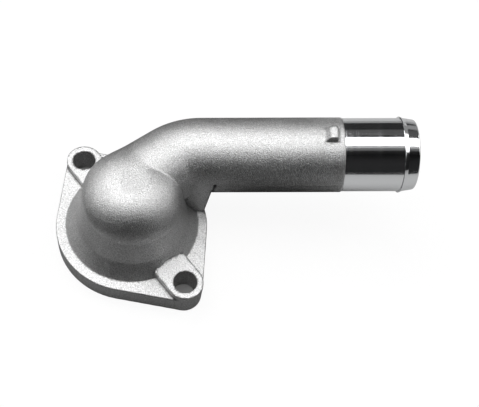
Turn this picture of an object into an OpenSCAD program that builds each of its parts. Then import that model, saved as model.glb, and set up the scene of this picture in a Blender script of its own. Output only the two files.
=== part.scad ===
// Coolant outlet housing: one hollow casting with a two-bolt flange, a domed
// chamber over the valve seat, an angled outlet pipe and a turned hose neck.
// Frame: flange face on z = 0 with its centre at the origin, +Z up through
// the dome, +X along the plan direction of the hose neck. Millimetres.

/* [Flange] */
// radius of the round part of the flange
flange_r = 30; // [28:0.5:36]
// thickness of the flange plate
flange_t = 9; // [7:0.5:12]
// distance between the two bolt hole centres
bolt_span = 68.5; // [66:0.5:78]
// turn of the bolt line from +X, seen from above
bolt_turn = -50; // [-58:1:-42]
// diameter of the bolt holes
bolt_d = 9; // [7:0.1:10.5]
// radius of the round ear outside each bolt hole
ear_r = 7; // [6.5:0.1:8.5]
// height of the raised bolt pads above the flange plate
pad_h = 3; // [1.5:0.25:5]
// radius of the wrench relief cut in the dome round each bolt
relief_r = 11.4; // [10.5:0.1:12]

/* [Chamber] */
// radius of the dome foot on the flange plate
dome_foot_r = 26.2; // [25:0.2:28]
// radius of the dome at the ring above its foot
dome_ring_r = 21.7; // [20.5:0.1:23]
// height of that ring above the flange plate
dome_ring_h = 6.3; // [5:0.1:8]
// lean of the dome wall between the ring and the rounding
dome_lean = 2.6; // [1:0.1:3.5]
// height of the dome above the flange plate
dome_h = 31; // [30:0.5:36]
// radius of the rounding over the top of the dome
dome_round = 14.5; // [12:0.5:18]
// wall thickness of the dome
dome_wall = 4.5; // [3.5:0.25:5.5]
// extra thickness of the roof of the dome over its wall
roof_extra = 2.5; // [1.5:0.25:4]
// radius of the valve seat recess in the flange face
seat_r = 26.25; // [24:0.25:27]
// depth of the valve seat recess
seat_depth = 3; // [2:0.25:4]

/* [Pipe] */
// outside radius of the cast pipe
pipe_r = 14.8; // [14:0.1:16.5]
// radius of the straight water way
bore_r = 12; // [10.5:0.1:12.4]
// how much narrower the cored water way is in the bend, and again in the first leg
bore_step = 0.4; // [0.3:0.1:0.8]
// how much slimmer the pipe is outside in the bend, and again in the first leg
leg_slim = 0.15; // [0.15:0.05:0.4]
// sideways distance from the flange centre to the pipe axis
pipe_side = 21.7; // [19:0.1:24]
// height of the pipe axis over the flange face, above the flange centre
pipe_z = 24.75; // [23:0.25:28]
// rise of the pipe towards its free end
pipe_rise = 8; // [4:0.5:10]
// angle in plan between the first leg and the straight pipe
leg_turn = 37; // [32:1:42]
// distance along the pipe to the corner between both legs
corner_x = 18.7; // [16:0.1:22]
// radius of the bend on its centre line
bend_r = 20; // [16:1:26]
// distance along the pipe to the end of the cast skin
cast_end = 81.2; // [74:0.2:92]

/* [Hose neck] */
// length of the turned neck
neck_l = 28.2; // [24:0.2:36]
// outside radius of the turned neck
neck_r = 14.5; // [13.8:0.1:15.5]
// distance from the free end to the middle of the bead
bead_back = 5.2; // [4:0.1:8]
// height of the bead over the neck
bead_h = 0.6; // [0.4:0.1:1.2]
// width of the bead at its foot
bead_w = 2.8; // [2.4:0.1:4.5]
// radius of the free end, after the lead-in taper
tip_r = 13.4; // [12.8:0.1:13.8]
// length of the rounded nose at the free end
tip_nose = 1.4; // [0.8:0.1:2]
// rounding of the cast end against the neck
shoulder = 0.8; // [0.3:0.1:1.5]

/* [Lug and web] */
// length of the locating lug along the pipe
lug_l = 2.8; // [2:0.1:5]
// width of the locating lug across the pipe
lug_w = 5.6; // [3:0.1:8]
// height of the locating lug over the pipe crown
lug_h = 2.4; // [1:0.1:3]
// length of the ramp in front of the lug, at its foot
lug_ramp = 2; // [0.5:0.1:3]
// distance from the cast end back to the middle of the lug
lug_back = 4.4; // [4:0.1:10]
// turn of the lug round the pipe, away from the crown
lug_turn = 4.5; // [0:0.5:10]
// how far the web's corners stand back from the flange edge
web_inset = 0.4; // [0.2:0.1:2]
// place of the web's back corner round the flange, from +X
web_back = 64; // [58:1:70]
// how far the web's sides stand back from the sides of the pipe
web_side = 0.3; // [0.1:0.1:1.5]
// how far the web's top stays under the parting plane of the pipe
web_drop = 0.8; // [0.2:0.1:1]

/* [Display] */
// node that is drawn

/* [Hidden] */
$fa = 6;
$fs = 0.8;
lap = 1;                                  // overlap of joined bodies
hole_r = bolt_d / 2;
bolt_reach = bolt_span / 2;
pad_z = flange_t + pad_h;
dome_top = flange_t + dome_h;
round_z = dome_top - dome_round;          // height of the rounding centre
round_x = dome_ring_r - dome_lean - dome_round; // its distance from the axis
ear_lean = acos((flange_r - ear_r) / bolt_reach);
leg_l = corner_x * cos(leg_turn) + pipe_side * sin(leg_turn);
bend_in = bend_r * tan(leg_turn / 2);     // corner to start of the bend
straight_x = corner_x + bend_in - lap;    // start of the straight pipe, lapped into the bend
leg_dir = [cos(leg_turn), sin(leg_turn)]; // the first leg in plan
leg_out = [sin(leg_turn), -cos(leg_turn)];
pipe_end = cast_end + neck_l;
bead_x = pipe_end - bead_back;
bead_round = (bead_w * bead_w / 4 + bead_h * bead_h) / (2 * bead_h);
bead_c = neck_r + bead_h - bead_round;
taper_x = bead_x + bead_w / 2;            // start of the lead-in taper
web_r = flange_r - web_inset;
web_y = pipe_side - pipe_r + web_side;    // front face of the web
web_x = sqrt(web_r * web_r - web_y * web_y);
web_top = pipe_z + web_x * tan(pipe_rise) - web_drop;
metal = [0.78, 0.79, 0.8];

// places its children on the line of the straight pipe, +X along the pipe
module on_pipe() {
    translate([0, pipe_side, pipe_z]) rotate([0, -pipe_rise, 0]) children();
}

// turns a profile drawn as (distance along, radius) about the pipe axis
module turned() {
    rotate([0, 90, 0]) rotate_extrude() rotate([0, 0, 90])
        mirror([0, 1]) children();
}

// outline of the flange: round body with two ears on common tangents
module flange_outline() {
    circle(r = flange_r);
    rotate(bolt_turn) for (s = [0, 180]) rotate(s) {
        translate([bolt_reach, 0]) circle(r = ear_r);
        polygon([
            flange_r * [cos(ear_lean), sin(ear_lean)],
            flange_r * [cos(ear_lean), -sin(ear_lean)],
            [bolt_reach + ear_r * cos(ear_lean), -ear_r * sin(ear_lean)],
            [bolt_reach + ear_r * cos(ear_lean), ear_r * sin(ear_lean)]
        ]);
    }
}

// raised pad under one bolt head, running in under the dome
module bolt_pad() {
    translate([bolt_reach, 0]) cylinder(r = ear_r, h = pad_z);
    translate([dome_ring_r - 6, -ear_r, flange_t - lap])
        cube([bolt_reach - dome_ring_r + 6, 2 * ear_r, pad_h + lap]);
}

// half section of the dome, drawn by distance from the axis and height; the
// chamber inside it is the same section, inset by the wall and with a lower roof
module dome_profile(foot_z, inset = 0, drop = 0) {
    wall_x = round_x + dome_round - inset;
    top_r = dome_round - inset;
    mid_z = round_z - drop;
    polygon([
        [0, foot_z], [dome_foot_r - inset, foot_z], [dome_foot_r - inset, flange_t],
        [dome_ring_r - inset, flange_t + dome_ring_h], [wall_x, mid_z], [0, mid_z]
    ]);
    intersection() {
        translate([round_x, mid_z]) circle(r = top_r);
        translate([round_x, mid_z]) square(top_r);
    }
    translate([0, mid_z - lap]) square([round_x, top_r + lap]);
}

// first leg out of the chamber and the bend into the straight pipe; a narrower
// leg can run on into the bend by a short way
module legs(r, first_r, run_on = 0) {
    on_pipe() translate([corner_x, 0, 0]) {
        rotate([0, 0, leg_turn]) translate([-leg_l, 0, 0]) turned() {
            square([leg_l - bend_in + run_on, first_r]);
            intersection() {
                circle(r = first_r);
                translate([-first_r, 0]) square([first_r + lap, first_r]);
            }
        }
        translate([bend_in, -bend_r, 0]) rotate([0, 0, 90])
            rotate_extrude(angle = leg_turn) translate([bend_r, 0]) circle(r = r);
    }
}

// straight cast pipe with a softened shoulder at its end
module cast_pipe() {
    on_pipe() turned() polygon([
        [straight_x, 0], [straight_x, pipe_r],
        [cast_end - shoulder, pipe_r], [cast_end, pipe_r - shoulder / 2],
        [cast_end, 0]
    ]);
}

// turned neck with its bead and lead-in taper
module hose_neck() {
    on_pipe() turned() {
        polygon([
            [cast_end - lap, 0], [cast_end - lap, neck_r], [taper_x, neck_r],
            [pipe_end - tip_nose, (neck_r + tip_r) / 2],
            [pipe_end - tip_nose / 3, tip_r + tip_nose / 3], [pipe_end, tip_r], [pipe_end, 0]
        ]);
        intersection() {
            translate([bead_x, bead_c]) circle(r = bead_round);
            translate([bead_x - bead_w, neck_r - lap]) square([2 * bead_w, 2 * lap + bead_h]);
        }
    }
}

// web that fills in under the pipe, from the flange up to the parting plane:
// flush with the front of the straight pipe, its end on a chord of the flange
module web() {
    translate([0, 0, flange_t - lap]) linear_extrude(web_top - flange_t + lap) polygon([
        [web_y, web_y], [web_x, web_y], web_r * [cos(web_back), sin(web_back)],
        [corner_x, pipe_side] - (bend_in - 0.6) * leg_dir + 0.3 * pipe_r * leg_out
    ]);
}

// locating lug with a ramp on the side of the bend
module lug() {
    on_pipe() rotate([lug_turn, 0, 0])
        translate([cast_end - lug_back, lug_w / 2, 0]) rotate([90, 0, 0])
            linear_extrude(lug_w) polygon([
                [-lug_l / 2 - lug_ramp, pipe_r - lap], [lug_l / 2, pipe_r - lap],
                [lug_l / 2, pipe_r + lug_h], [-lug_l / 2, pipe_r + lug_h],
                [-lug_l / 2 - lug_ramp, pipe_r - 0.1]
            ]);
}

module outside() {
    linear_extrude(flange_t) flange_outline();
    difference() {
        rotate_extrude() dome_profile(flange_t - lap);
        rotate([0, 0, bolt_turn]) for (s = [0, 180]) rotate([0, 0, s])
            translate([bolt_reach, 0, flange_t - 2 * lap])
                cylinder(r = relief_r, h = dome_h);
    }
    rotate([0, 0, bolt_turn]) for (s = [0, 180]) rotate([0, 0, s]) bolt_pad();
    legs(pipe_r - leg_slim, pipe_r - 2 * leg_slim, lap);
    cast_pipe();
    hose_neck();
    web();
    lug();
}

module water_way() {
    translate([0, 0, -lap]) cylinder(r = seat_r, h = seat_depth + lap);
    rotate_extrude() dome_profile(seat_depth - lap, dome_wall, roof_extra);
    legs(bore_r - bore_step, bore_r - 2 * bore_step, lap);
    on_pipe() translate([straight_x, 0, 0]) rotate([0, 90, 0])
        cylinder(r = bore_r, h = pipe_end - straight_x + lap);
}

module housing() {
    color(metal) difference() {
        outside();
        water_way();
        rotate([0, 0, bolt_turn]) for (s = [0, 180]) rotate([0, 0, s])
            translate([bolt_reach, 0, -lap]) cylinder(r = hole_r, h = pad_z + 2 * lap);
    }
}

housing();
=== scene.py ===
import math
import bpy
import numpy as np
from mathutils import Euler, Matrix, Vector


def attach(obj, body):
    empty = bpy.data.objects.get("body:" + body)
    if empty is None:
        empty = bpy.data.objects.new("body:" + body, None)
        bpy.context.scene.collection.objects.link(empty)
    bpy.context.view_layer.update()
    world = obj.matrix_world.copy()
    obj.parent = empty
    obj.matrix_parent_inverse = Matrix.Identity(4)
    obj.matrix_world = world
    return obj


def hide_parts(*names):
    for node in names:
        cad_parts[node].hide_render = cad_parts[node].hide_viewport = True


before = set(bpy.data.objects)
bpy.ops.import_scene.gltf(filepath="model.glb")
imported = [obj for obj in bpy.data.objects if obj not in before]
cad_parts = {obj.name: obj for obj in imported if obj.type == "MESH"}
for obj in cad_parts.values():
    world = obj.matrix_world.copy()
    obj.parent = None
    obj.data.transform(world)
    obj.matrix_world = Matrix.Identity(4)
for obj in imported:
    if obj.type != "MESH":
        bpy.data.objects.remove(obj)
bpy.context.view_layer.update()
scene = bpy.context.scene
MM = 0.001

# sizes of the housing in millimetres, as in the part's source
FLANGE_R, FLANGE_T, BOLT_REACH, BOLT_TURN = 30.0, 9.0, 34.25, math.radians(-50.0)
BOLT_R, EAR_R, PAD_Z, RELIEF_R = 4.5, 7.0, 12.0, 11.4
FOOT_R, RING_R, RING_H, LEAN, DOME_H, DOME_ROUND = 26.2, 21.7, 6.3, 2.6, 31.0, 14.5
WALL, ROOF_EXTRA, SEAT_R, SEAT_D = 4.5, 2.5, 26.25, 3.0
PIPE_R, BORE_R, BORE_STEP = 14.8, 12.0, 0.4
PIPE_SIDE, PIPE_Z, RISE = 21.7, 24.75, math.radians(8.0)
LEG_TURN, CORNER_X, BEND_R, CAST_END = math.radians(37.0), 18.7, 20.0, 81.2
NECK_L, NECK_R, BEAD_BACK, BEAD_H, TIP_R, TIP_NOSE = 28.2, 14.5, 5.2, 0.6, 13.4, 1.4
LUG_L, LUG_W, LUG_H, LUG_RAMP, LUG_BACK, LUG_TURN = 2.8, 5.6, 2.4, 2.0, 4.4, math.radians(4.5)
WEB_INSET, WEB_BACK, WEB_SIDE, WEB_DROP = 0.4, math.radians(64.0), 0.3, 0.8
PIPE_END = CAST_END + NECK_L

# finer shape that is only in this scene, in millimetres: roundings, blends and slopes
RING_ROUND, RIM_ROUND, PAD_ROUND, HOLE_ROUND, WAY_ROUND = 0.9, 0.6, 0.4, 0.2, 0.6
CAST_ROUND, LUG_ROUND, WEB_ROUND, WEB_TOP_ROUND = 1.0, 0.7, 0.5, 0.6
FOOT_BLEND, WEB_BLEND, LUG_BLEND = 0.25, 0.2, 0.5
LEG_BLEND, LEG_BLEND_MORE, LEG_BLEND_X, LEG_BLEND_RUN = 0.3, 3.4, 10.0, 14.0
PAD_IN, PAD_SLOPE, PAD_SLOPE_FROM, WEB_DRAFT = 6.0, 3.0, 0.8, 0.08
FAR = 1e3

# painted shade on the casting: hollow corners darkened, a dark line for the slit beside the web, and the dome
# darker towards its foot
HOLLOW_LIFT, HOLLOW_GAIN, HOLLOW_DARK = 1.0, 1.6, 0.6
SLIT_Z, SLIT_SIDE, SLIT_EDGE, SLIT_FRONT, SLIT_LOW = 30.0, 0.55, 0.3, 8.0, 3.0
FOOT_DARK, FOOT_FADE, FOOT_RUN, FOOT_SKIN = 0.42, 0.32, 14.0, 0.6
# level faces of the flange and pads: painted lighter in the material as painted light from above, and left
# out of the foot's painted shade
LEVEL_FROM, LEVEL_RUN, LEVEL_BAND = 0.9, 0.08, 2.5

# mesh of the casting in millimetres, and turns of the neck
MESH_LO, MESH_HI, MESH_STEP = (-31.5, -34.8, -1.5), (84.0, 38.4, 56.0), 0.65
NECK_SEGMENTS = 144


def smin(a, b, k):
    """Smaller of two distances, blended over k."""
    h = np.maximum(k - np.abs(a - b), 0.0) / k
    return np.minimum(a, b) - h * h * k * 0.25


def smax(a, b, k):
    return -smin(-a, -b, k)


class Section:
    """Signed distance of a turned profile, kept on a fine table of radius and height."""
    step, reach, low, high = 0.15, 48.0, -12.0, 66.0

    def __init__(self, pts):
        pts = np.array(pts, float)
        self.r = np.arange(0.0, self.reach, self.step)
        self.z = np.arange(self.low, self.high, self.step)
        q = np.stack(np.meshgrid(self.r, self.z, indexing="ij"), -1)
        best = np.full(q.shape[:2], 1e9)
        inside = np.zeros(q.shape[:2], bool)
        for a, b in zip(pts, np.roll(pts, -1, 0)):
            ab = b - a
            if np.allclose(ab, 0):
                continue
            t = np.clip(((q - a) @ ab) / (ab @ ab), 0, 1)
            d = np.linalg.norm(q - a - t[..., None] * ab, axis=-1)
            if not (a[0] == 0 and b[0] == 0):
                best = np.minimum(best, d)
            cross = (a[1] > q[..., 1]) != (b[1] > q[..., 1])
            with np.errstate(divide="ignore", invalid="ignore"):
                x = a[0] + (q[..., 1] - a[1]) * ab[0] / ab[1]
            inside ^= cross & (q[..., 0] < x)
        self.d = np.where(inside, -best, best)

    def __call__(self, r, z):
        u = np.clip(r / self.step, 0, len(self.r) - 1.001)
        v = np.clip((z - self.z[0]) / self.step, 0, len(self.z) - 1.001)
        i, j = u.astype(int), v.astype(int)
        fu, fv = u - i, v - j
        d = self.d
        return ((d[i, j] * (1 - fu) + d[i + 1, j] * fu) * (1 - fv)
                + (d[i, j + 1] * (1 - fu) + d[i + 1, j + 1] * fu) * fv)


def dome_points(foot_z, inset, drop):
    """Profile of the dome as (radius, height), moved in by inset and its roof down by drop."""
    rx = RING_R - LEAN - DOME_ROUND
    rr = DOME_ROUND - inset
    mz = FLANGE_T + DOME_H - DOME_ROUND - drop
    foot = np.array((FOOT_R - inset, FLANGE_T))
    ring = np.array((RING_R - inset, FLANGE_T + RING_H))
    wall = np.array((rx + rr, mz))
    lo = ring + RING_ROUND * (foot - ring) / np.linalg.norm(foot - ring)
    hi = ring + RING_ROUND * (wall - ring) / np.linalg.norm(wall - ring)
    pts = [(0.0, foot_z), (FOOT_R - inset, foot_z), tuple(foot)]
    pts += [tuple((1 - t) ** 2 * lo + 2 * t * (1 - t) * ring + t * t * hi) for t in np.linspace(0, 1, 12)]
    pts += [(rx + rr * math.cos(a), mz + rr * math.sin(a)) for a in np.linspace(0, math.pi / 2, 40)]
    return pts + [(0.0, mz + rr)]


DOME = Section(dome_points(FLANGE_T - 1, 0.0, 0.0))
CHAMBER = Section(dome_points(SEAT_D - 1, WALL, ROOF_EXTRA))
LEG_L = CORNER_X * math.cos(LEG_TURN) + PIPE_SIDE * math.sin(LEG_TURN)
BEND_IN = BEND_R * math.tan(LEG_TURN / 2)
LEG = np.array([math.cos(LEG_TURN), math.sin(LEG_TURN)])
LEG_OUT = np.array([math.sin(LEG_TURN), -math.cos(LEG_TURN)])
WEB_R = FLANGE_R - WEB_INSET
WEB_Y = PIPE_SIDE - PIPE_R + WEB_SIDE
WEB_X = math.sqrt(WEB_R ** 2 - WEB_Y ** 2)
WEB_TOP = PIPE_Z + WEB_X * math.tan(RISE) - WEB_DROP
WEB = [(WEB_Y, WEB_Y), (WEB_X, WEB_Y), (WEB_R * math.cos(WEB_BACK), WEB_R * math.sin(WEB_BACK)),
       tuple(np.array([CORNER_X, PIPE_SIDE]) - (BEND_IN - 0.6) * LEG + 0.3 * PIPE_R * LEG_OUT)]


def segment(x, y, a, b):
    """Distance from the line between a and b."""
    ax, ay = a
    dx, dy = b[0] - ax, b[1] - ay
    t = np.clip(((x - ax) * dx + (y - ay) * dy) / (dx * dx + dy * dy), 0, 1)
    return np.hypot(x - ax - t * dx, y - ay - t * dy)


def pipe_lines(x, y, z):
    """Distances from the centre lines of the first leg, the bend and the straight pipe."""
    c = np.array([CORNER_X, 0.0])
    leg = segment(x, y, c - LEG_L * LEG, c - BEND_IN * LEG)
    bx, by = x - (CORNER_X + BEND_IN), y + BEND_R
    turn = np.arctan2(-bx, by)
    arc = np.where((turn >= 0) & (turn <= LEG_TURN), np.abs(np.hypot(bx, by) - BEND_R), FAR)
    straight = segment(x, y, (CORNER_X + BEND_IN, 0.0), (PIPE_END + 20, 0.0))
    return np.hypot(leg, z), np.hypot(arc, z), np.hypot(straight, z)


def casting(p):
    """Signed distance of the cast body, without the turned neck, at points in millimetres."""
    x, y, z = p[:, 0], p[:, 1], p[:, 2]
    cb, sb = math.cos(BOLT_TURN), math.sin(BOLT_TURN)
    u, v = np.abs(cb * x + sb * y), np.abs(-sb * x + cb * y)
    b = (FLANGE_R - EAR_R) / BOLT_REACH
    a = math.sqrt(1 - b * b)
    k = -b * v + a * u
    plate = np.where(k < 0, np.hypot(u, v) - FLANGE_R,
                     np.where(k > a * BOLT_REACH, np.hypot(u - BOLT_REACH, v) - EAR_R,
                              a * v + b * u - FLANGE_R))
    bolt = np.hypot(u - BOLT_REACH, v)
    rho = np.hypot(x, y)
    body = smax(plate, np.abs(z - FLANGE_T / 2) - FLANGE_T / 2, RIM_ROUND)
    dome = DOME(rho, z)
    pad = segment(u, v, (BOLT_REACH, 0.0), (RING_R - PAD_IN, 0.0)) - EAR_R
    top = z - PAD_Z + PAD_SLOPE * np.maximum(bolt - RELIEF_R - PAD_SLOPE_FROM, 0)
    pad = np.maximum(smax(pad, top, PAD_ROUND), FLANGE_T - 1 - z)
    cr, sr = math.cos(RISE), math.sin(RISE)
    px, py, pz = cr * x + sr * (z - PIPE_Z), y - PIPE_SIDE, -sr * x + cr * (z - PIPE_Z)
    leg, bend, straight = pipe_lines(px, py, pz)
    pipe = np.minimum(leg, np.minimum(bend, straight)) - PIPE_R
    pipe = smax(pipe, px - CAST_END, CAST_ROUND)
    web = np.full(x.shape, -FAR)
    for (x0, y0), (x1, y1), draft in zip(WEB, WEB[1:] + WEB[:1], (0.0, WEB_DRAFT, 0.0, 0.0)):
        n = math.hypot(x1 - x0, y1 - y0)
        side = ((x - x0) * (y1 - y0) - (y - y0) * (x1 - x0)) / n
        web = smax(web, side - draft * (z - FLANGE_T), WEB_ROUND)
    web = smax(web, np.maximum(z - WEB_TOP, FLANGE_T - 1 - z), WEB_TOP_ROUND)
    cl, sl = math.cos(LUG_TURN), math.sin(LUG_TURN)
    ly, lz, lx = cl * py + sl * pz, -sl * py + cl * pz, px - (CAST_END - LUG_BACK)
    rise = LUG_H + 0.1
    ramp = (-(lx + LUG_L / 2 + LUG_RAMP) * rise + (lz - PIPE_R + 0.1) * LUG_RAMP) / math.hypot(rise, LUG_RAMP)
    lug = smax(smax(lx - LUG_L / 2, lz - PIPE_R - LUG_H, LUG_ROUND),
               smax(ramp, np.abs(ly) - LUG_W / 2, LUG_ROUND), LUG_ROUND)
    lug = np.maximum(lug, PIPE_R - 2 - lz)
    d = smin(smin(body, dome, FOOT_BLEND), pad, FOOT_BLEND)
    d = smax(d, -np.maximum(bolt - RELIEF_R, PAD_Z - z), FOOT_BLEND)
    fillet = LEG_BLEND + LEG_BLEND_MORE * np.clip((LEG_BLEND_X - x) / LEG_BLEND_RUN, 0, 1) ** 2
    d = smin(smin(d, smin(pipe, web, WEB_BLEND), fillet), lug, LUG_BLEND)
    way = np.minimum(bend - BORE_R + BORE_STEP, straight - BORE_R)
    way = np.minimum(leg - BORE_R + 2 * BORE_STEP, way)
    way = np.minimum(CHAMBER(rho, z), way)
    way = np.minimum(way, np.maximum(rho - SEAT_R, z - SEAT_D))
    d = smax(d, -way, WAY_ROUND)
    return smax(d, BOLT_R - bolt, HOLE_ROUND)


def level(p, normal):
    """1 on the level faces of the flange and the pads, 0 elsewhere."""
    near = np.abs(p[:, 2] - (FLANGE_T + PAD_Z) / 2) < LEVEL_BAND
    return np.clip((normal[:, 2] - LEVEL_FROM) / LEVEL_RUN, 0, 1) * near


def painted_shade(p, normal):
    """How much painted shade each point gets: 0 on open faces, up to HOLLOW_DARK in a hollow corner, 1 in the
    slit.
    """
    # painted shade in hollow corners: darker where the body lies close a short lift out along the normal
    hollow = HOLLOW_GAIN * (1 - casting(p + HOLLOW_LIFT * normal) / HOLLOW_LIFT)
    hollow = np.clip(hollow, 0, HOLLOW_DARK)
    # painted shade: a dark line for the shaded slit between the web's right edge and the pipe; the mesh has
    # no slit there
    x, y, z = p.T
    beside = x - WEB_X - WEB_DRAFT * (z - FLANGE_T) - SLIT_SIDE
    slit = np.clip(2.2 - np.hypot(beside, np.maximum(z - SLIT_Z, 0)) / SLIT_EDGE, 0, 1)
    slit *= (y < PIPE_SIDE - SLIT_FRONT) & (z > FLANGE_T + SLIT_LOW)
    # painted shade: the dome is painted darker towards its foot
    foot = np.clip(FOOT_DARK - FOOT_FADE * (z - FLANGE_T) / FOOT_RUN, 0, FOOT_DARK) * (1 - level(p, normal))
    foot *= np.clip(1.5 - np.abs(DOME(np.hypot(x, y), z)) / FOOT_SKIN, 0, 1)
    return np.maximum(np.maximum(hollow, slit), foot)


def slope(f, p):
    """Gradient of f at the points p."""
    e = 0.04
    return np.stack([f(p + e * m) - f(p - e * m) for m in np.eye(3)], 1) / (2 * e)


def surface(f, lo, hi, h):
    """Closed quad mesh of f = 0 and its normals: one vertex per mixed cell, where its tangent planes meet."""
    hold, spill, passes = 0.04, 0.15, 3
    ax = [np.arange(l, t + h, h) for l, t in zip(lo, hi)]
    n = [len(a) for a in ax]
    g = np.empty(n, np.float32)
    for i, xv in enumerate(ax[0]):
        yy, zz = np.meshgrid(ax[1], ax[2], indexing="ij")
        g[i] = f(np.stack([np.full(yy.size, xv), yy.ravel(), zz.ravel()], 1)).reshape(n[1:])
    s = g < 0
    corner = [(i, j, k) for i in (0, 1) for j in (0, 1) for k in (0, 1)]
    count = sum(s[tuple(slice(c[m], n[m] - 1 + c[m]) for m in range(3))].astype(np.int8) for c in corner)
    cells = np.argwhere((count > 0) & (count < 8))
    index = np.full([m - 1 for m in n], -1, np.int64)
    index[tuple(cells.T)] = np.arange(len(cells))
    val = {c: g[tuple((cells + c).T)].astype(float) for c in corner}
    origin = np.array([a[0] for a in ax])
    total, weight = np.zeros((len(cells), 3)), np.zeros(len(cells))
    pull, push = np.zeros((len(cells), 3, 3)), np.zeros((len(cells), 3))
    for c in corner:
        for axis in range(3):
            if c[axis]:
                continue
            e = tuple(c[m] + (m == axis) for m in range(3))
            at = np.nonzero((val[c] < 0) != (val[e] < 0))[0]
            pt = np.tile(np.array(c, float), (len(at), 1))
            pt[:, axis] += val[c][at] / (val[c][at] - val[e][at])
            nor = slope(f, origin + h * (cells[at] + pt))
            nor /= np.maximum(np.linalg.norm(nor, axis=1), 1e-6)[:, None]
            total[at] += pt
            weight[at] += 1
            pull[at] += nor[:, :, None] * nor[:, None, :]
            push[at] += nor * (nor * pt).sum(1)[:, None]
    mid = total / weight[:, None]
    pull += hold * np.eye(3)
    push -= np.einsum("nij,nj->ni", pull - hold * np.eye(3), mid)
    move = np.linalg.solve(pull, push[..., None])[..., 0]
    verts = origin + h * (cells + np.clip(mid + move, -spill, 1 + spill))
    quads = []
    for axis in range(3):
        p, q = [m for m in range(3) if m != axis]
        d0 = [slice(0, m) for m in n]
        d1 = [slice(0, m) for m in n]
        d0[axis], d1[axis] = slice(0, n[axis] - 1), slice(1, n[axis])
        flip = s[tuple(d0)] != s[tuple(d1)]
        at = np.argwhere(flip)
        at = at[(at[:, p] > 0) & (at[:, q] > 0) & (at[:, p] < n[p] - 1) & (at[:, q] < n[q] - 1)]
        ring = []
        for dp, dq in ((-1, -1), (0, -1), (0, 0), (-1, 0)):
            c = at.copy()
            c[:, p] += dp
            c[:, q] += dq
            ring.append(index[tuple(c.T)])
        ring = np.stack(ring, 1)
        back = s[tuple(at.T)] == (axis == 1)
        ring[back] = ring[back][:, ::-1]
        quads.append(ring)
    for _ in range(passes):
        grad = slope(f, verts)
        move = -(f(verts) / np.maximum((grad * grad).sum(1), 0.25))[:, None] * grad
        verts += np.clip(move, -0.5 * h, 0.5 * h)
    return verts, np.concatenate(quads), slope(f, verts)


def neck_profile():
    """Turned neck as (distance along the pipe, radius), once round its wall."""
    bx, sunk = PIPE_END - BEAD_BACK, CAST_END - 0.8
    pts = [(sunk, 12.4), (sunk, NECK_R), (CAST_END - 0.75, NECK_R)]
    pts += [(x, NECK_R) for x in np.linspace(CAST_END - 0.6, bx - 0.66, 18)]
    # bead: steep rear step, crest and front slope, as (place from bx, depth below the crest)
    crest = NECK_R + 0.95 * BEAD_H
    bead = ((-0.64, 0.57), (-0.625, 0.555), (-0.615, 0.01), (-0.6, 0.0),
            (-0.57, 0.013), (0.0, 0.268), (0.69, 0.577), (0.72, 0.59))
    pts += [(bx + x, crest - r) for x, r in bead]
    # cone, rounded nose and bore
    x0, r0, x1, r1 = bx + 0.75, crest - 0.597, PIPE_END - TIP_NOSE / 2, (NECK_R + TIP_R) / 2 - 0.05
    pts += [(x0 + (x1 - x0) * t, r0 + (r1 - r0) * t) for t in (0.0, 0.04, 0.3, 0.6, 0.96)]
    nose = TIP_R - 0.3
    pts += [(x1 + TIP_NOSE / 2 * math.sin(a), nose + (r1 - nose) * math.cos(a))
            for a in np.linspace(0.25, 1.5, 8)]
    pts += [(PIPE_END, BORE_R + 0.25), (PIPE_END - 0.25, BORE_R)]
    return pts + [(CAST_END + 0.05, BORE_R), (CAST_END - 0.1, BORE_R + 0.3)]


def turned(profile, segments):
    """Quad mesh of a profile turned round the pipe's axis, with its normals."""
    cr, sr = math.cos(RISE), math.sin(RISE)
    p, m = np.array(profile), len(profile)
    side = np.stack([np.roll(p, -1, 0)[:, 1] - p[:, 1], -(np.roll(p, -1, 0)[:, 0] - p[:, 0])], 1)
    side = -side / np.linalg.norm(side, axis=1)[:, None]
    nor = side + np.roll(side, 1, 0)
    nor /= np.maximum(np.linalg.norm(nor, axis=1), 1e-6)[:, None]
    verts, normals, quads = [], [], []
    for s in range(segments):
        c, n = math.cos(2 * math.pi * s / segments), math.sin(2 * math.pi * s / segments)
        for (x, r), (nx, nr) in zip(p, nor):
            verts.append((cr * x - sr * r * n, PIPE_SIDE + r * c, PIPE_Z + sr * x + cr * r * n))
            normals.append((cr * nx - sr * nr * n, nr * c, sr * nx + cr * nr * n))
        t = (s + 1) % segments
        quads += [(s * m + i, t * m + i, t * m + (i + 1) % m, s * m + (i + 1) % m) for i in range(m)]
    return np.array(verts), np.array(quads), np.array(normals)


def piece(name, parts):
    """One object from (vertices in mm, quads, material index) of each part."""
    verts = np.concatenate([p[0] for p in parts]) * MM
    shift = np.cumsum([0] + [len(p[0]) for p in parts])
    quads = np.concatenate([p[1] + k for p, k in zip(parts, shift)])
    mesh = bpy.data.meshes.new(name)
    mesh.vertices.add(len(verts))
    mesh.vertices.foreach_set("co", verts.astype(np.float32).ravel())
    mesh.loops.add(quads.size)
    mesh.loops.foreach_set("vertex_index", quads.astype(np.int32).ravel())
    mesh.polygons.add(len(quads))
    mesh.polygons.foreach_set("loop_start", np.arange(0, quads.size, 4, dtype=np.int32))
    slots = np.concatenate([np.full(len(p[1]), p[2], np.int32) for p in parts])
    mesh.polygons.foreach_set("material_index", slots)
    mesh.update(calc_edges=True)
    mesh.validate()
    obj = bpy.data.objects.new(name, mesh)
    scene.collection.objects.link(obj)
    return obj


def nodes_of(name):
    """New material with its node tree and shader."""
    mat = bpy.data.materials.new(name)
    mat.use_nodes = True
    nt = mat.node_tree
    return mat, nt, nt.nodes["Principled BSDF"]


def add(nt, kind, **values):
    """New node with values for its inputs or settings."""
    n = nt.nodes.new(kind)
    for key, val in values.items():
        if key in n.inputs:
            n.inputs[key].default_value = val
        else:
            setattr(n, key, val)
    return n


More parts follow.
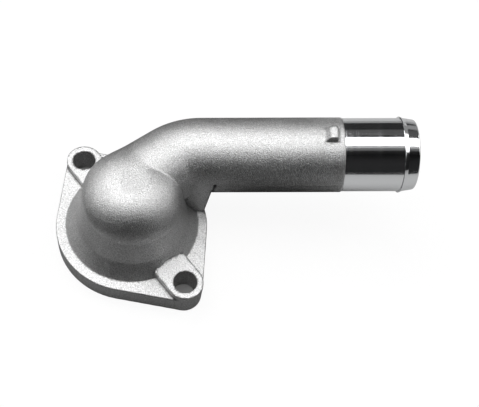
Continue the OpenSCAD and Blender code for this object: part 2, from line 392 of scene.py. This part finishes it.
def ranged(nt, source, lo, hi, low=0.3, high=0.7):
    """Output that runs from lo to hi while the source runs from low to high."""
    n = add(nt, "ShaderNodeMapRange")
    for key, val in (("From Min", low), ("From Max", high), ("To Min", lo), ("To Max", hi)):
        n.inputs[key].default_value = val
    nt.links.new(source, n.inputs["Value"])
    return n.outputs["Result"]


def math_of(nt, operation, a, b):
    n = add(nt, "ShaderNodeMath", operation=operation)
    for socket, v in zip(n.inputs, (a, b)):
        if isinstance(v, (int, float)):
            socket.default_value = v
        else:
            nt.links.new(v, socket)
    return n.outputs[0]


def cast_material():
    mat, nt, bsdf = nodes_of("blasted_casting")
    link = nt.links.new
    place = add(nt, "ShaderNodeTexCoord").outputs["Object"]
    split = add(nt, "ShaderNodeSeparateXYZ")
    link(place, split.inputs[0])
    noise = {}
    for key, scale, detail in (("pits", 2700.0, 2.0), ("grit", 3600.0, 1.0), ("cloud", 140.0, 3.0)):
        noise[key] = add(nt, "ShaderNodeTexNoise", Scale=scale, Detail=detail, Roughness=0.6)
        link(place, noise[key].inputs["Vector"])
    fac = {key: n.outputs["Fac"] for key, n in noise.items()}
    tone = math_of(nt, "MULTIPLY", ranged(nt, fac["pits"], 0.64, 1.22), ranged(nt, fac["grit"], 0.64, 1.22))
    tone = math_of(nt, "MULTIPLY", tone, ranged(nt, fac["cloud"], 0.62, 0.68))
    # painted shade: hollow corners, the slit beside the web and the dome's foot are painted darker
    corner = add(nt, "ShaderNodeAttribute", attribute_name="painted_shade").outputs["Fac"]
    tone = math_of(nt, "MULTIPLY", tone, ranged(nt, corner, 1.0, 0.1, 0.1, 1.0))
    # painted light: the level faces are painted lighter, standing in for light from above; they are also more
    # matt
    flats = add(nt, "ShaderNodeAttribute", attribute_name="level").outputs["Fac"]
    tone = math_of(nt, "MULTIPLY", tone, ranged(nt, flats, 1.0, 1.42, 0.0, 1.0))
    tone = math_of(nt, "MINIMUM", tone, 1.0)
    link(ranged(nt, flats, 1.0, 0.3, 0.0, 1.0), bsdf.inputs["Metallic"])
    colour = add(nt, "ShaderNodeCombineColor")
    for c in ("Red", "Green", "Blue"):
        link(tone, colour.inputs[c])
    link(colour.outputs["Color"], bsdf.inputs["Base Color"])
    link(ranged(nt, fac["cloud"], 0.37, 0.43), bsdf.inputs["Roughness"])
    # fine flash left along the parting plane of the pipe
    across = add(nt, "ShaderNodeVectorMath", operation="DOT_PRODUCT")
    link(place, across.inputs[0])
    across.inputs[1].default_value = (-math.sin(RISE), 0.0, math.cos(RISE))
    off = math_of(nt, "SUBTRACT", across.outputs["Value"], PIPE_Z * math.cos(RISE) * MM)
    off = math_of(nt, "ABSOLUTE", off, 0.0)
    seam = math_of(nt, "MULTIPLY", ranged(nt, off, 1.0, 0.0, 0.0001, 0.00045),
                   ranged(nt, split.outputs["X"], 0.0, 1.0, 0.027, 0.031))
    height = math_of(nt, "ADD", fac["pits"], math_of(nt, "MULTIPLY", fac["grit"], 0.35))
    height = math_of(nt, "ADD", height, math_of(nt, "MULTIPLY", seam, 0.9))
    bump = add(nt, "ShaderNodeBump", Strength=1.0, Distance=0.0002)
    link(height, bump.inputs["Height"])
    link(bump.outputs["Normal"], bsdf.inputs["Normal"])
    return mat


def turned_material():
    mat, nt, bsdf = nodes_of("turned_neck")
    link = nt.links.new
    bsdf.inputs["Metallic"].default_value = 1.0
    bsdf.inputs["Base Color"].default_value = (0.86, 0.87, 0.88, 1)
    place = add(nt, "ShaderNodeTexCoord").outputs["Object"]
    turn = add(nt, "ShaderNodeMapping", vector_type="POINT")
    turn.inputs["Rotation"].default_value = (0.0, RISE, 0.0)
    turn.inputs["Scale"].default_value = (1.0, 0.004, 0.004)
    link(place, turn.inputs["Vector"])
    lines = add(nt, "ShaderNodeTexNoise", Scale=3000.0, Detail=2.0, Roughness=0.7)
    link(turn.outputs["Vector"], lines.inputs["Vector"])
    link(ranged(nt, lines.outputs["Fac"], 0.05, 0.17), bsdf.inputs["Roughness"])
    bump = add(nt, "ShaderNodeBump", Strength=0.5, Distance=0.00002)
    link(lines.outputs["Fac"], bump.inputs["Height"])
    link(bump.outputs["Normal"], bsdf.inputs["Normal"])
    return mat


# the housing: cast body and turned neck, one piece
cast = surface(casting, MESH_LO, MESH_HI, MESH_STEP)
neck = turned(neck_profile(), NECK_SEGMENTS)
housing = piece("housing_metal", [(cast[0], cast[1], 0), (neck[0], neck[1], 1)])
housing.data.materials.append(cast_material())
housing.data.materials.append(turned_material())
housing.data.polygons.foreach_set("use_smooth", [True] * len(housing.data.polygons))
cast_normals = cast[2] / np.maximum(np.linalg.norm(cast[2], axis=1), 1e-6)[:, None]
housing.data.normals_split_custom_set_from_vertices(np.concatenate([cast_normals, neck[2]]).tolist())
for name, measure in (("painted_shade", painted_shade), ("level", level)):
    values = np.append(measure(cast[0], cast_normals), np.zeros(len(neck[2])))
    housing.data.attributes.new(name, "FLOAT", "POINT").data.foreach_set("value", values)
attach(housing, "root")
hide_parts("housing")

# stage, in metres: white floor and surround, cards and flags for the reflections, lamps
FLOOR_Z, FLOOR_TONE, FLOOR_GLOW = -0.0004, 0.9, 0.93
HOLE_ZONE, HOLE_GLOW = 0.0065, 0.06
WORLD_FILL = 0.12


def direct_rays(nt):
    """1 for camera, glossy and transmission rays, 0 for the rest."""
    rays = add(nt, "ShaderNodeLightPath").outputs
    seen = math_of(nt, "MAXIMUM", rays["Is Camera Ray"], rays["Is Glossy Ray"])
    return math_of(nt, "MAXIMUM", seen, rays["Is Transmission Ray"])


def floor_material():
    """White to direct rays, with a small part of the floor's own shading; under the bolt holes it glows only
    a little and has painted shadow, its colour halved.
    """
    mat, nt, bsdf = nodes_of("floor_white")
    link = nt.links.new
    nt.nodes.remove(bsdf)
    place = add(nt, "ShaderNodeNewGeometry").outputs["Position"]
    share = FLOOR_GLOW
    for side in (BOLT_REACH * MM, -BOLT_REACH * MM):
        far = add(nt, "ShaderNodeVectorMath", operation="DISTANCE")
        link(place, far.inputs[0])
        far.inputs[1].default_value = (side * math.cos(BOLT_TURN), side * math.sin(BOLT_TURN), FLOOR_Z)
        share = math_of(nt, "MULTIPLY", share, math_of(nt, "GREATER_THAN", far.outputs["Value"], HOLE_ZONE))
    share = math_of(nt, "MAXIMUM", share, HOLE_GLOW)
    shade = add(nt, "ShaderNodeCombineColor")
    # painted shadow: the floor's colour falls to half under the bolt holes
    tone = ranged(nt, share, FLOOR_TONE / 2, FLOOR_TONE, 0.0, FLOOR_GLOW)
    for c in ("Red", "Green", "Blue"):
        link(tone, shade.inputs[c])
    diff = add(nt, "ShaderNodeBsdfDiffuse")
    link(shade.outputs["Color"], diff.inputs["Color"])
    emit = add(nt, "ShaderNodeEmission", Color=(1, 1, 1, 1), Strength=1.0)
    mix = add(nt, "ShaderNodeMixShader")
    link(math_of(nt, "MULTIPLY", direct_rays(nt), share), mix.inputs[0])
    link(diff.outputs[0], mix.inputs[1])
    link(emit.outputs[0], mix.inputs[2])
    link(mix.outputs[0], nt.nodes["Material Output"].inputs["Surface"])
    return mat


def flat(name, size, matrix, mat):
    """Rectangle of the stage."""
    mesh = bpy.data.meshes.new(name)
    w, h = size[0] / 2, size[1] / 2
    mesh.from_pydata([(-w, -h, 0), (w, -h, 0), (w, h, 0), (-w, h, 0)], [], [(0, 1, 2, 3)])
    obj = bpy.data.objects.new(name, mesh)
    obj.matrix_world = matrix
    mesh.materials.append(mat)
    scene.collection.objects.link(obj)
    return obj


def plain(name, colour):
    """Dull paper of one colour."""
    mat, _, bsdf = nodes_of(name)
    bsdf.inputs["Base Color"].default_value = (*colour, 1)
    bsdf.inputs["Roughness"].default_value = 0.9
    bsdf.inputs["Specular IOR Level"].default_value = 0.0
    return mat


def softbox(name, at, aim, size, radiance):
    """Rectangular lamp with the given radiance."""
    lamp = bpy.data.lights.new(name, "AREA")
    lamp.shape = "RECTANGLE"
    lamp.size, lamp.size_y = size
    lamp.energy = radiance * math.pi * size[0] * size[1]
    obj = bpy.data.objects.new(name, lamp)
    obj.location = at
    obj.rotation_euler = (Vector(aim) - Vector(at)).to_track_quat("-Z", "Y").to_euler()
    scene.collection.objects.link(obj)


flat("floor", (6, 6), Matrix.Translation((0.03, 0, FLOOR_Z)), floor_material())

PAPERS = {name: plain(name, colour) for name, colour in (
    ("flag", (0.035, 0.035, 0.036)),
    ("black_mat", (0.04, 0.04, 0.04)),
    ("grey_mat", (0.46, 0.46, 0.46)),
    ("side_mat", (0.32, 0.32, 0.32)),
    ("near_mat", (0.22, 0.22, 0.22)),
    ("light_mat", (0.5, 0.5, 0.5)))}
LYING, FACING, SIDEWAYS = (0, 0, 0), (math.pi / 2, 0, 0), (0, math.pi / 2, 0)
# name, place, turn, size and paper; the lying cards are stacked just above the floor
CARDS = (
    ("mat", (0.03, 0.0, -0.0002), LYING, (1.7, 1.7), "grey_mat"),
    ("side_card", (-0.27, 0.25, -0.00013), LYING, (0.46, 0.5), "side_mat"),
    ("dark_card", (0.025, 0.0, -0.0001), LYING, (0.13, 0.52), "black_mat"),
    ("dark_left", (-0.235, -0.425, -0.00011), LYING, (0.47, 0.85), "black_mat"),
    ("dark_front", (0.2, -0.575, -0.00012), LYING, (0.8, 0.55), "black_mat"),
    ("near_card", (0.0, -0.01, -0.00005), LYING, (0.085, 0.085), "near_mat"),
    ("mat_end", (0.03, 0.89, 0.09), FACING, (2.4, 0.18), "light_mat"),
    ("flag_front", (0.03, -0.9, 0.65), FACING, (2.4, 1.3), "flag"),
    ("flag_back", (0.03, 0.9, 0.65), FACING, (2.4, 1.3), "flag"),
    ("flag_left", (-1.15, 0, 0.65), SIDEWAYS, (1.3, 1.9), "flag"),
    ("flag_right", (1.2, 0, 0.65), SIDEWAYS, (1.3, 1.9), "flag"),
    ("flag_top", (0.03, 0, 1.3), LYING, (2.6, 2.0), "flag"))
for name, at, turn, size, paper in CARDS:
    matrix = Matrix.Translation(at) @ Matrix.LocRotScale(None, Euler(turn), None)
    card = flat(name, size, matrix, PAPERS[paper])
    card.visible_camera = False
    card.visible_shadow = False

world = bpy.data.worlds.new("studio")
scene.world = world
world.use_nodes = True
nt = world.node_tree
back = nt.nodes["Background"]
back.inputs["Color"].default_value = (1, 1, 1, 1)
nt.links.new(ranged(nt, direct_rays(nt), WORLD_FILL, 1.0, 0.0, 1.0), back.inputs["Strength"])

# name, place, aim, size and radiance
LAMPS = (
    ("overhead", (0.145, 0.127, 1.0), (0.145, 0.02, 0.0), (1.91, 0.436), 2.95),
    ("overhead_left_front", (-0.5, -0.23, 1.0), (-0.5, 0.02, 0.0), (1.0, 0.28), 2.4),
    ("overhead_left_back", (-0.485, 0.6, 1.0), (-0.485, 0.02, 0.0), (1.03, 0.5), 3.5),
    ("overhead_edge", (0.04, -0.165, 1.0), (0.04, 0.02, 0.0), (1.7, 0.1), 0.45),
    ("overhead_fade", (0.04, -0.29, 1.0), (0.04, 0.02, 0.0), (1.7, 0.15), 0.11),
    ("overhead_back", (0.04, 0.75, 0.95), (0.04, 0.02, 0.0), (1.7, 0.5), 0.07),
    ("left", (-0.88, 0.18, 0.42), (0.0, 0.0, 0.02), (1.1, 0.7), 1.4),
    ("right", (0.86, 0.18, 0.62), (0.0, 0.0, 0.02), (0.75, 0.6), 1.7),
    ("right_back", (0.68, 0.66, 0.33), (0.0, 0.0, 0.02), (0.8, 0.6), 0.25))
for lamp in LAMPS:
    softbox(*lamp)

# camera fitted to the photograph, with its focal length and width in pixels
FOCAL_PX, PHOTO_W, SENSOR = 700.0, 479.0, 36.0
right = Vector((0.9911, 0.0010, 0.1331))
up = Vector((-0.0699, 0.8547, 0.5145))
ahead = Vector((0.1132, 0.5192, -0.8471))
data = bpy.data.cameras.new("photo_view")
data.sensor_width = SENSOR
data.lens = FOCAL_PX / PHOTO_W * SENSOR
data.clip_start, data.clip_end = 0.02, 20.0
camera = bpy.data.objects.new("photo_view", data)
turn = Matrix((right, up, -ahead)).transposed().to_4x4()
camera.matrix_world = Matrix.Translation((0.01012, -0.13946, 0.2566)) @ turn
scene.collection.objects.link(camera)
scene.camera = camera
scene.view_settings.view_transform = "Standard"
